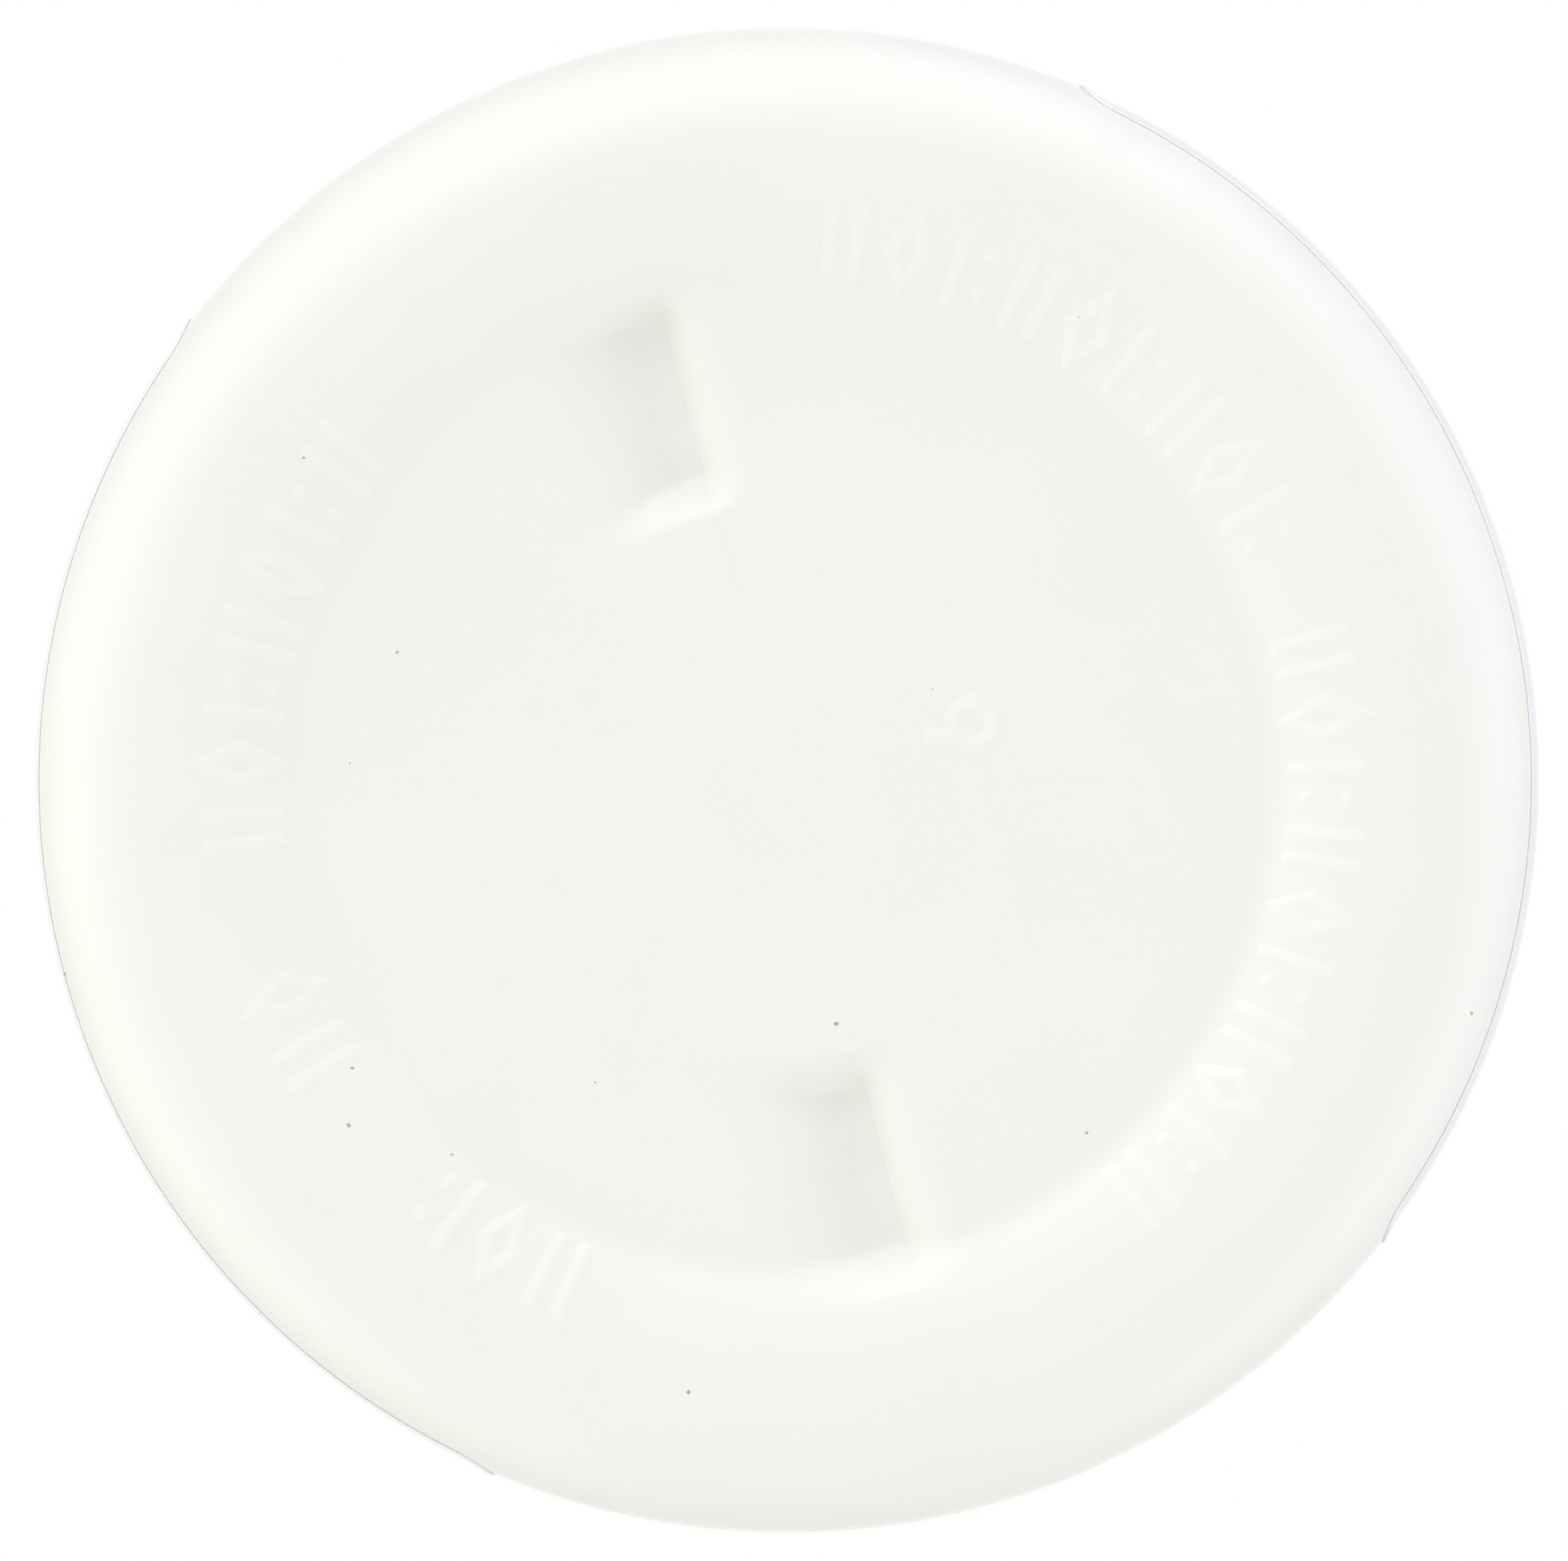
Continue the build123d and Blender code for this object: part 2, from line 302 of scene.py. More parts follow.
# %% Jar outline
roll_centre = (stand_inner_radius, roll_radius)
lip_radius = 3.0
lip_centre = (24.62, panel_height - lip_radius)
panel_rings = [*np.arange(0.8, 14.0, 1.2), *np.arange(14.0, 16.6, 0.2), *np.arange(16.8, lip_centre[0], 0.6)]
underside = [(r, panel_height) for r in panel_rings]
underside += arc(lip_centre, lip_radius, 90, 65.8, 8)
underside += arc(roll_centre, roll_radius, 246.4, 270, 16)
underside += arc((stand_outer_radius, heel_radius), heel_radius, 270, 360, 20)
wall_top = shoulder_height - shoulder_radius
wall = [(body_radius, z) for z in np.arange(9.0, wall_top, 4.0)]
wall += arc((body_radius - shoulder_radius, wall_top), shoulder_radius, 0, 80, 10)
neck = arc((neck_radius + 0.5, shoulder_height + 0.5), 0.5, 260, 180, 5)
neck += arc((neck_radius - rim_chamfer, rim_height - rim_chamfer), rim_chamfer, 0, 90, 5)
neck += arc((bore_radius + rim_chamfer, rim_height - rim_chamfer), rim_chamfer, 90, 180, 5)
inner_top = shoulder_height - trough_height
inside_radius = body_radius - body_wall
inside = [(bore_radius, inner_top + 0.9)]
inside += arc((inside_radius - shoulder_radius, inner_top - shoulder_radius), shoulder_radius, 90, 0, 8)
inside += arc((stand_outer_radius, heel_radius + 0.05), heel_radius - body_wall, 0, -90, 12)
inside += [(stand_inner_radius - trough_height, trough_height), (floor_radius, floor_height),
           (12.0, floor_height)]
jar_outline = underside + wall + neck + inside
print(len(underside), "rings under the jar,", len(jar_outline), "in all")

# %% [markdown]
# Each notch is a soft ramp that falls to the parting line, and a short steep wall that climbs back out. The
# ramp is steepest a little before the line and levels out at its foot; the wall is steepest at the line.
# The parting line itself is a hair of a ridge down the two columns that lie on it.

# %% Notches and parting line
def eased(value, low, high):
    """0 below low and 1 above high, with a soft start and end."""
    share = np.clip((value - low) / (high - low), 0, 1)
    return share * share * (3 - 2 * share)


def notch(points, direction, ramp_side):
    """How far one notch lifts each point of the underside, in millimetres."""
    foot, ramp_reach, wall_run = 0.8, 2.5, 2.7
    along = points[..., 0] * math.cos(direction) + points[..., 1] * math.sin(direction)
    across = ramp_side * (points[..., 1] * math.cos(direction) - points[..., 0] * math.sin(direction))
    ramp_side_share = np.exp(-0.5 * (np.clip(across - foot, 0, None) / ramp_reach) ** 2)
    wall_share = np.clip(1 + across / wall_run, 0, 1) ** 2
    share = np.where(across > 0, ramp_side_share, wall_share)
    radius = np.hypot(along, across)
    window = eased(radius, notch_inner_radius - 1.1, notch_inner_radius + 1.3)
    window *= 1 - eased(radius, notch_outer_radius - 1.6, notch_outer_radius + 1.4)
    return np.where(along > 0, notch_depth * share * window, 0)


columns = 512
ridge_height = 0.03
rings = turned(jar_outline, columns, parting_angle)
base = rings[:len(underside)]
radius = np.hypot(base[..., 0], base[..., 1])
lift = notch(base, parting_angle, 1) + notch(base, parting_angle - math.pi, -1)
ridge = np.zeros_like(radius)
ridge[:, [0, columns // 2]] = ridge_height
ridge *= eased(radius, 8.5, 10) * (1 - eased(lift, 0, 0.1)) * eased(base[..., 2], 0.02, 0.25)
base[..., 2] += lift - ridge
jar = skinned("jar_shell", rings, panel_height, floor_height)
report(jar)

# %% Creases down the notches
ends = np.zeros(2 * len(jar.data.edges), int)
jar.data.edges.foreach_get("vertices", ends)
ring_of, column_of = np.divmod(ends.reshape(-1, 2) - 1, columns)
on_line = (column_of == 0).all(1) | (column_of == columns // 2).all(1)
edge_radius = np.array([r for r, z in jar_outline])[np.clip(ring_of.min(1), 0, len(jar_outline) - 1)]
creased = on_line & (ring_of.max(1) < len(underside)) & (edge_radius > notch_inner_radius - 0.4)
creased &= edge_radius < notch_outer_radius + 0.2
sharp = jar.data.attributes.new("sharp_edge", "BOOLEAN", "EDGE")
sharp.data.foreach_set("value", creased)
depth_share = np.zeros(len(jar.data.vertices), np.float32)
depth_share[1:1 + lift.size] = (lift / notch_depth).reshape(-1)
jar.data.attributes.new("in_notch", "FLOAT", "POINT").data.foreach_set("value", depth_share)
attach(jar, "jar")
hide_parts("jar_body")
print(int(creased.sum()), "creased edges")

# %% [markdown]
# ## Surface effects
#
# Four small node groups do the work that several materials share. Each takes the object's own coordinates
# in metres, so that the grain has a real size: moulded skin is tens of micrometres deep, flow mottle is a
# centimetre across, scuffs are a few millimetres long, and specks are a few tenths of a millimetre.

# %% Shared effects
def new_group(name, inputs, outputs):
    """A shader node group. inputs maps a name to its default, and outputs lists the names of its values."""
    tree = bpy.data.node_groups.new(name, "ShaderNodeTree")
    for label, default in inputs.items():
        kind = "NodeSocketVector" if label == "Position" else "NodeSocketFloat"
        socket = tree.interface.new_socket(label, in_out="INPUT", socket_type=kind)
        if default is not None:
            socket.default_value = default
    for label in outputs:
        tree.interface.new_socket(label, in_out="OUTPUT", socket_type="NodeSocketFloat")
    given = add_node(tree, "NodeGroupInput").outputs
    result = add_node(tree, "NodeGroupOutput").inputs
    return tree, given, result


def noise_value(tree, position, scale, detail=2.0, roughness=0.5, distortion=0.0):
    """Noise of a given fineness, in features a metre. Returns its value socket."""
    inputs = {"Vector": position, "Scale": scale, "Detail": detail, "Roughness": roughness,
              "Distortion": distortion}
    return add_node(tree, "ShaderNodeTexNoise", inputs).outputs[0]


def make_moulded_skin():
    """Height of a moulded skin, in metres: fine grain over slow waves."""
    inputs = {"Position": None, "Grain": 1200.0, "Grain Depth": 6e-6, "Wave": 90.0, "Wave Depth": 4e-5}
    tree, given, result = new_group("moulded_skin", inputs, ["Height"])
    grain = calc(tree, "MULTIPLY", noise_value(tree, given["Position"], given["Grain"], 3.0),
                 given["Grain Depth"])
    waves = noise_value(tree, given["Position"], given["Wave"], 1.0)
    tree.links.new(calc(tree, "MULTIPLY_ADD", waves, given["Wave Depth"], grain), result["Height"])
    return tree


def make_mottle():
    """A share from 0 to 1 that drifts slowly, as colour does in a melt."""
    tree, given, result = new_group("mottle", {"Position": None, "Size": 70.0}, ["Share"])
    drift = noise_value(tree, given["Position"], given["Size"], 4.0, 0.55, 0.6)
    tree.links.new(ramp(tree, drift, 0.32, 0.68), result["Share"])
    return tree


def make_scuffs():
    """Masks of short fine scratches that run every way, and of rubbed patches."""
    tree, given, result = new_group("scuffs", {"Position": None, "Amount": 0.5}, ["Scratches", "Rubbed"])
    lines = None
    for turn in (0.3, 1.4, 2.5):
        spun = add_node(tree, "ShaderNodeMapping", {"Vector": given["Position"], "Rotation": (0, 0, turn),
                                                   "Scale": (90, 3600, 90)}).outputs[0]
        line = ramp(tree, noise_value(tree, spun, 1.0, 1.0), 0.70, 0.76)
        lines = line if lines is None else calc(tree, "MAXIMUM", lines, line)
    patches = ramp(tree, noise_value(tree, given["Position"], 110.0, 3.0), 0.50, 0.64)
    tree.links.new(calc(tree, "MULTIPLY", calc(tree, "MULTIPLY", lines, patches), given["Amount"]),
                   result["Scratches"])
    tree.links.new(calc(tree, "MULTIPLY", patches, given["Amount"]), result["Rubbed"])
    return tree


def make_specks():
    """Masks of sparse dark and warm specks of dust, each a few tenths of a millimetre."""
    inputs = {"Position": None, "Spacing": 400.0, "Size": 0.05, "Share": 0.2}
    tree, given, result = new_group("specks", inputs, ["Dark", "Warm"])
    bent = noise_value(tree, given["Position"], 2600.0, 2.0)
    cells = add_node(tree, "ShaderNodeTexVoronoi", {"Vector": given["Position"], "Scale": given["Spacing"]})
    draw = add_node(tree, "ShaderNodeSeparateColor", {0: cells.outputs["Color"]}).outputs
    reach = calc(tree, "MULTIPLY", calc(tree, "MULTIPLY_ADD", bent, 2.4, -0.4), given["Size"])
    inside = calc(tree, "LESS_THAN", cells.outputs["Distance"], reach)
    chosen = calc(tree, "LESS_THAN", draw[0], given["Share"])
    mask = calc(tree, "MULTIPLY", inside, chosen)
    warm = calc(tree, "GREATER_THAN", draw[1], 0.55)
    tree.links.new(calc(tree, "MULTIPLY", mask, calc(tree, "SUBTRACT", 1.0, warm)), result["Dark"])
    tree.links.new(calc(tree, "MULTIPLY", mask, warm), result["Warm"])
    return tree


moulded_skin, mottle, scuffs, specks = make_moulded_skin(), make_mottle(), make_scuffs(), make_specks()
print("effects", [g.name for g in (moulded_skin, mottle, scuffs, specks)])

# %% [markdown]
# ## Materials
#
# Every material is one Principled shader. The plastics differ in their white: the jar is natural
# polyethylene with a slightly warm, waxy white, and the cap is a brighter, harder polypropylene. The soap
# is cream with a fine pressed grain, and the liner is foam with fine cells.

# %% Plastics
def new_material(name, **numbers):
    """A material whose Principled shader has these constants. Returns its tree, shader and position."""
    material = bpy.data.materials.new(name)
    material.use_nodes = True
    tree = material.node_tree
    shader = tree.nodes["Principled BSDF"]
    for key, number in numbers.items():
        shader.inputs[key.replace("_", " ")].default_value = number
    position = add_node(tree, "ShaderNodeTexCoord").outputs["Object"]
    return material, tree, shader, position


def effect(tree, group, position, **numbers):
    """Adds a shared effect to a material and sets its inputs. Returns its outputs."""
    node = add_node(tree, "ShaderNodeGroup", None, node_tree=group)
    tree.links.new(position, node.inputs["Position"])
    for key, number in numbers.items():
        node.inputs[key.replace("_", " ")].default_value = number
    return node.outputs


def mix(tree, share, first, second):
    """Mixes two colours, each a colour or a socket. Returns the colour."""
    return add_node(tree, "ShaderNodeMix", {0: share, 6: first, 7: second}, data_type="RGBA").outputs[2]


def bumped(tree, shader, height):
    """Gives the shader a bump from a height in metres."""
    bump = add_node(tree, "ShaderNodeBump", {"Height": height, "Distance": 1.0, "Strength": 1.0})
    tree.links.new(bump.outputs[0], shader.inputs["Normal"])


def make_jar_plastic():
    material, tree, shader, position = new_material("jar_plastic", IOR=1.54)
    drift = effect(tree, mottle, position)["Share"]
    white = mix(tree, drift, (0.891, 0.898, 0.850, 1), (0.903, 0.908, 0.861, 1))
    smudged = ramp(tree, noise_value(tree, position, 75.0, 4.0, 0.6, 0.4), 0.58, 0.74)
    white = mix(tree, calc(tree, "MULTIPLY", smudged, 0.6), white, (0.855, 0.882, 0.842, 1))
    # Painted shade: the notches are painted a darker, warmer white the deeper they are, broken up by noise, in
    # place of the shade that falls in them.
    sheltered = add_node(tree, "ShaderNodeAttribute", attribute_name="in_notch").outputs["Fac"]
    notch_painted_shade = calc(tree, "MULTIPLY", sheltered, ramp(tree, noise_value(tree, position, 420.0, 4.0, 0.6), 0.30,
                                                   0.70))
    white = mix(tree, notch_painted_shade, white, (0.886, 0.880, 0.828, 1))
    # Painted highlight: the tops of the raised marks are painted a lighter white, in place of the light they
    # catch.
    proud = add_node(tree, "ShaderNodeAttribute", attribute_name="proud").outputs["Fac"]
    white = mix(tree, proud, white, (0.914, 0.918, 0.876, 1))
    dust = effect(tree, specks, position)
    white = mix(tree, dust["Dark"], white, (0.40, 0.40, 0.42, 1))
    white = mix(tree, dust["Warm"], white, (0.62, 0.40, 0.20, 1))
    tree.links.new(white, shader.inputs["Base Color"])
    wear = effect(tree, scuffs, position, Amount=1.0)
    rough = calc(tree, "MULTIPLY_ADD", wear["Rubbed"], 0.07, calc(tree, "MULTIPLY_ADD", drift, 0.04, 0.40))
    tree.links.new(rough, shader.inputs["Roughness"])
    skin = effect(tree, moulded_skin, position)["Height"]
    bumped(tree, shader, calc(tree, "MULTIPLY_ADD", wear["Scratches"], -6e-6, skin))
    return material


def make_cap_plastic():
    material, tree, shader, position = new_material("cap_plastic", IOR=1.49)
    drift = effect(tree, mottle, position, Size=45.0)["Share"]
    tree.links.new(mix(tree, drift, (0.880, 0.884, 0.880, 1), (0.895, 0.898, 0.892, 1)),
                   shader.inputs["Base Color"])
    wear = effect(tree, scuffs, position, Amount=1.0)
    tree.links.new(calc(tree, "MULTIPLY_ADD", wear["Rubbed"], 0.12, 0.30), shader.inputs["Roughness"])
    skin = effect(tree, moulded_skin, position, Grain=2200.0, Grain_Depth=8e-6, Wave_Depth=1e-5)["Height"]
    bumped(tree, shader, calc(tree, "MULTIPLY_ADD", wear["Scratches"], -8e-6, skin))
    return material


jar_plastic, cap_plastic = make_jar_plastic(), make_cap_plastic()
jar.data.materials.append(jar_plastic)
print("plastics", jar_plastic.name, cap_plastic.name)

# %% [markdown]
# ## Generators
#
# What repeats or follows a path is grown by geometry nodes: the ring of raised marks, the threads, the ribs
# and the beads. Each generator has named inputs, and its result is kept as a plain mesh.

# %% Generator helpers
def new_generator(name, **inputs):
    """A geometry node tree. Each input's kind comes from its default. Returns the tree and its inputs."""
    kinds = {float: "NodeSocketFloat", int: "NodeSocketInt", bool: "NodeSocketBool",
             bpy.types.Object: "NodeSocketObject"}
    tree = bpy.data.node_groups.new(name, "GeometryNodeTree")
    tree.interface.new_socket("Geometry", in_out="INPUT", socket_type="NodeSocketGeometry")
    tree.interface.new_socket("Material", in_out="INPUT", socket_type="NodeSocketMaterial")
    for label, default in inputs.items():
        socket = tree.interface.new_socket(label, in_out="INPUT", socket_type=kinds[type(default)])
        if kinds[type(default)] != "NodeSocketObject":
            socket.default_value = default
    tree.interface.new_socket("Geometry", in_out="OUTPUT", socket_type="NodeSocketGeometry")
    return tree, add_node(tree, "NodeGroupInput").outputs


def end_generator(tree, given, *parts):
    """Joins the parts of a generator, makes them real and smooth, and gives them the material."""
    joined = add_node(tree, "GeometryNodeJoinGeometry")
    for part in parts:
        tree.links.new(part, joined.inputs[0])
    real = add_node(tree, "GeometryNodeRealizeInstances", {0: joined.outputs[0]})
    smooth = add_node(tree, "GeometryNodeSetShadeSmooth", {0: real.outputs[0]})
    painted = add_node(tree, "GeometryNodeSetMaterial", {0: smooth.outputs[0], "Material": given["Material"]})
    add_node(tree, "NodeGroupOutput", {0: painted.outputs[0]})


def grow(name, tree, material, seed_points=((0, 0, 0),), attributes=None, **inputs):
    """Runs a generator over a few points and keeps the result as a plain mesh."""
    mesh = bpy.data.meshes.new(name)
    mesh.from_pydata([tuple(point) for point in seed_points], [], [])
    for label, (kind, values) in (attributes or {}).items():
        mesh.attributes.new(label, kind, "POINT").data.foreach_set("value", values)
    piece = bpy.data.objects.new(name, mesh)
    bpy.context.scene.collection.objects.link(piece)
    modifier = piece.modifiers.new("grow", "NODES")
    modifier.node_group = tree
    for socket in tree.interface.items_tree:
        if socket.in_out == "INPUT" and socket.name in inputs:
            modifier[socket.identifier] = inputs[socket.name]
        elif socket.in_out == "INPUT" and socket.name == "Material":
            modifier[socket.identifier] = material
    evaluated = piece.evaluated_get(bpy.context.evaluated_depsgraph_get())
    grown = bpy.data.meshes.new_from_object(evaluated)
    piece.modifiers.clear()
    piece.data = grown
    grown.name = name
    report(piece)
    return piece


print("generators end with one material and plain meshes")

# %% [markdown]
# ## Raised marks
#
# The real roll carries a ring of raised lettering. This tub has plain bars, lozenges and dots in its place,
# in the same groups, as low and soft as blow moulding makes them. Each mark is a small closed patch whose
# relief rises from just under the roll.

# %% Mark shapes
mark_height, mark_stroke, mark_length, mark_pitch = 0.07, 0.75, 4.4, math.radians(6.9)
mark_radius = 27.9
mark_groups = ((-83.5, 9), (-13.5, 10), (114.5, 3), (149.5, 2), (174.8, 7))


def two_bars(s, t):
    """How far a point is inside either of two bars along the roll."""
    beyond_end = np.clip(np.abs(s) - (mark_length - mark_stroke) / 2, 0, None)
    return mark_stroke / 2 - np.hypot(beyond_end, np.abs(t) - mark_stroke)


def open_lozenge(s, t):
    """How far a point is inside the outline of a lozenge twice as long as it is wide."""
    long, wide = (mark_length - mark_stroke) / 2, (mark_length - mark_stroke) / 4
    from_line = (np.abs(s) / long + np.abs(t) / wide - 1) * long * wide / math.hypot(long, wide)
    return mark_stroke / 2 - np.abs(from_line)


def bar_and_dots(s, t):
    """How far a point is inside a bar, or inside one of two dots beside it."""
    beyond_end = np.clip(np.abs(s) - (mark_length - mark_stroke) / 2, 0, None)
    bar = mark_stroke / 2 - np.hypot(beyond_end, t + mark_stroke)
    dots = mark_stroke / 2 - np.hypot(np.abs(s) - mark_length / 4, t - mark_stroke)
    return np.maximum(bar, dots)


def ring_and_dash(s, t):
    """How far a point is inside the cavity mark: a ring, and a dash below it on the left."""
    ring = mark_stroke / 2 - np.abs(np.hypot(s, t) - 1.05)
    dash = mark_stroke / 2 - np.hypot(np.clip(np.abs(s + 1.4) - mark_stroke, 0, None), t - 0.7)
    return np.maximum(ring, dash)


def on_roll(s, t, rise):
    """A point on the roll: s runs outward, t runs round, and rise is how proud it stands."""
    fall = math.asin((stand_inner_radius - mark_radius) / roll_radius) - s / roll_radius
    radius = roll_centre[0] - (roll_radius + rise) * np.sin(fall)
    height = roll_centre[1] - (roll_radius + rise) * np.cos(fall)
    return np.stack([radius * np.cos(t / mark_radius), radius * np.sin(t / mark_radius), height], axis=-1)


def on_panel(s, t, rise):
    """A point on the panel, about the place of the cavity mark."""
    return np.stack([s + 9.7, t - 3.0, panel_height - rise], axis=-1)


def relief_patch(name, inside, place, s_reach, t_reach):
    """A closed patch whose face rises softly from under the surface to mark_height inside the shapes."""
    s, t = np.meshgrid(np.arange(-s_reach, s_reach + 0.05, 0.1), np.arange(-t_reach, t_reach + 0.05, 0.1),
                       indexing="ij")
    sunk = 0.012
    proud = eased(inside(s, t), -0.28, 0.34)
    patch = sheet_solid(name, place(s, t, np.full_like(s, -0.3)),
                        place(s, t, proud * (mark_height + sunk) - sunk))
    # The proud share is kept on the patch so that the jar plastic paints a highlight on the marks' tops.
    mark_painted_highlight = np.concatenate([proud.reshape(-1), np.zeros(s.size)]).astype(np.float32)
    patch.data.attributes.new("proud", "FLOAT", "POINT").data.foreach_set("value", mark_painted_highlight)
    return patch


def sheet_solid(name, inner, outer):
    """A closed solid between two grids of points. outer faces away from inner."""
    rows, columns = outer.shape[:2]
    number = np.arange(rows * columns).reshape(rows, columns)
    quads = np.stack([number[:-1, :-1], number[:-1, 1:], number[1:, 1:], number[1:, :-1]], -1).reshape(-1, 4)
    outline = np.concatenate([number[0, :-1], number[:-1, -1], number[-1, :0:-1], number[:0:-1, 0]])
    beside = np.roll(outline, -1)
    under = rows * columns
    walls = np.stack([outline, outline + under, beside + under, beside], -1)
    points = np.concatenate([outer.reshape(-1, 3), inner.reshape(-1, 3)])
    return new_piece(name, points, [*quads.tolist(), *(quads[:, ::-1] + under).tolist(), *walls.tolist()])


patches = [relief_patch("bars", two_bars, on_roll, 2.6, 1.5),
           relief_patch("lozenge", open_lozenge, on_roll, 3.1, 1.8),
           relief_patch("bar_and_dots", bar_and_dots, on_roll, 2.6, 1.5)]
for patch in patches:
    report(patch)

# %% Ring of marks
def make_mark_ring():
    """Places one of three shapes at each point, turned about the tub's axis."""
    tree, given = new_generator("mark_ring", Bars=patches[0], Lozenge=patches[1], Bar_And_Dots=patches[2])
    kind = add_node(tree, "GeometryNodeInputNamedAttribute", {"Name": "kind"}, data_type="INT").outputs[0]
    turn = add_node(tree, "GeometryNodeInputNamedAttribute", {"Name": "turn"}, data_type="FLOAT").outputs[0]
    euler = add_node(tree, "ShaderNodeCombineXYZ", {"Z": turn}).outputs[0]
    rotation = add_node(tree, "FunctionNodeEulerToRotation", {0: euler}).outputs[0]
    rings = []
    for number, label in enumerate(("Bars", "Lozenge", "Bar_And_Dots")):
        shape = add_node(tree, "GeometryNodeObjectInfo", {"Object": given[label]}).outputs["Geometry"]
        chosen = add_node(tree, "FunctionNodeCompare", {2: kind, 3: number}, data_type="INT",
                          operation="EQUAL")
        inputs = {"Points": given["Geometry"], "Selection": chosen.outputs[0], "Instance": shape,
                  "Rotation": rotation}
        rings.append(add_node(tree, "GeometryNodeInstanceOnPoints", inputs).outputs[0])
    end_generator(tree, given, *rings)
    return tree


places = [(math.radians(first) + place * mark_pitch, place % 3) for first, count in mark_groups
          for place in range(count)]
marks = grow("raised_marks", make_mark_ring(), jar_plastic, seed_points=[(0, 0, 0)] * len(places),
             attributes={"turn": ("FLOAT", [turn for turn, kind in places]),
                         "kind": ("INT", [kind for turn, kind in places])},
             Bars=patches[0], Lozenge=patches[1], Bar_And_Dots=patches[2])
for patch in patches:
    bpy.data.objects.remove(patch)
cavity_mark = relief_patch("cavity_mark", ring_and_dash, on_panel, 2.9, 1.8)
cavity_mark.data.materials.append(jar_plastic)
report(cavity_mark)
for piece in (marks, cavity_mark):
    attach(piece, "jar")
    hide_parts("jar_body")
print(len(places), "marks round the roll")

# %% [markdown]
# ## Labels
#
# Each label is a film a tenth of a millimetre thick with rounded corners. It lies on the wall and its lower
# edge follows the start of the heel, so that from below its edge shows as a thin line beside the heel. The
# print is measured in metres across and up the film.

# %% Label films
def label_film(name, facing, body_node, raised):
    """A closed film on the wall, centred on the direction it faces, and stuck on that much high or low."""
    gap = 0.015
    bottom = label_bottom + raised
    height = label_top - label_bottom
    corner_steps = label_corner_radius * (1 - np.cos(np.radians(np.linspace(0, 90, 9))))
    rows = np.concatenate([corner_steps, np.linspace(label_corner_radius, height - label_corner_radius,
                                                     28)[1:-1],
                           height - corner_steps[::-1]])
    from_end = label_corner_radius - np.minimum(np.minimum(rows, height - rows), label_corner_radius)
    inset = label_corner_radius - np.sqrt(label_corner_radius**2 - from_end**2)
    half_width = label_half_angle * body_radius - inset
    u = half_width[:, None] * np.linspace(-1, 1, 161)
    v = rows[:, None] + 0 * u
    below_wall = np.clip(heel_radius - bottom - v, 0, None)
    inner_radius = stand_outer_radius + np.sqrt(heel_radius**2 - below_wall**2) + gap
    angle = facing + u / body_radius

    def cylinder(radius):
        return np.stack([radius * np.cos(angle), radius * np.sin(angle), bottom + v], axis=-1)

    film = sheet_solid(name, cylinder(inner_radius), cylinder(inner_radius + label_thickness))
    across = np.tile(u.reshape(-1), 2) * MM
    up = np.tile(v.reshape(-1), 2) * MM
    corners = np.zeros(len(film.data.loops), int)
    film.data.loops.foreach_get("vertex_index", corners)
    layer = film.data.uv_layers.new(name="print")
    layer.data.foreach_set("uv", np.stack([across[corners], up[corners]], -1).astype(np.float32).reshape(-1))
    film.data.attributes.new("printed", "FLOAT", "POINT").data.foreach_set(
        "value", np.repeat([1.0, 0.0], u.size).astype(np.float32))
    report(film)
    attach(film, "jar")
    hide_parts(body_node)
    return film


front_film = label_film("front_label_film", parting_angle - math.pi / 2, "front_label", raised=-0.8)
back_film = label_film("back_label_film", parting_angle + math.pi / 2, "back_label", raised=-0.45)

# %% [markdown]
# The print is built from distances. A rounded frame is the distance inward from a rounded rectangle, and
# lines, plaques and panels are bands of that distance.

# %% Print shapes
def make_rounded_frame():
    """Distance inside a rounded rectangle, in metres; negative outside."""
    inputs = {"Across": 0.0, "Up": 0.0, "Half Width": 0.03, "Half Height": 0.015, "Radius": 0.002}
    tree, given, result = new_group("rounded_frame", inputs, ["Inside"])
    past = []
    for label, half in (("Across", "Half Width"), ("Up", "Half Height")):
        straight = calc(tree, "SUBTRACT", given[half], given["Radius"])
        past.append(calc(tree, "SUBTRACT", calc(tree, "ABSOLUTE", given[label]), straight))
    outside = [calc(tree, "MAXIMUM", p, 0.0) for p in past]
    length = calc(tree, "SQRT", calc(tree, "ADD", calc(tree, "POWER", outside[0], 2.0),
                                     calc(tree, "POWER", outside[1], 2.0)))
    within = calc(tree, "MINIMUM", calc(tree, "MAXIMUM", *past), 0.0)
    distance = calc(tree, "ADD", length, within)
    tree.links.new(calc(tree, "SUBTRACT", given["Radius"], distance), result["Inside"])
    return tree


rounded_frame = make_rounded_frame()


def frame_at(tree, across, up, middle, half_width, half_height, radius):
    """Distance inside a rounded rectangle whose middle is at (across, up)."""
    node = add_node(tree, "ShaderNodeGroup", None, node_tree=rounded_frame)
    tree.links.new(calc(tree, "SUBTRACT", across, middle[0]), node.inputs["Across"])
    tree.links.new(calc(tree, "SUBTRACT", up, middle[1]), node.inputs["Up"])
    for label, number in (("Half Width", half_width), ("Half Height", half_height), ("Radius", radius)):
        node.inputs[label].default_value = number
    return node.outputs[0]


def band(tree, value, low, high, soft=0.00003):
    """1 where value is between low and high, with edges as soft as ink."""
    rising = ramp(tree, value, low - soft, low + soft)
    falling = ramp(tree, value, high - soft, high + soft, 1.0, 0.0)
    return calc(tree, "MULTIPLY", rising, falling)


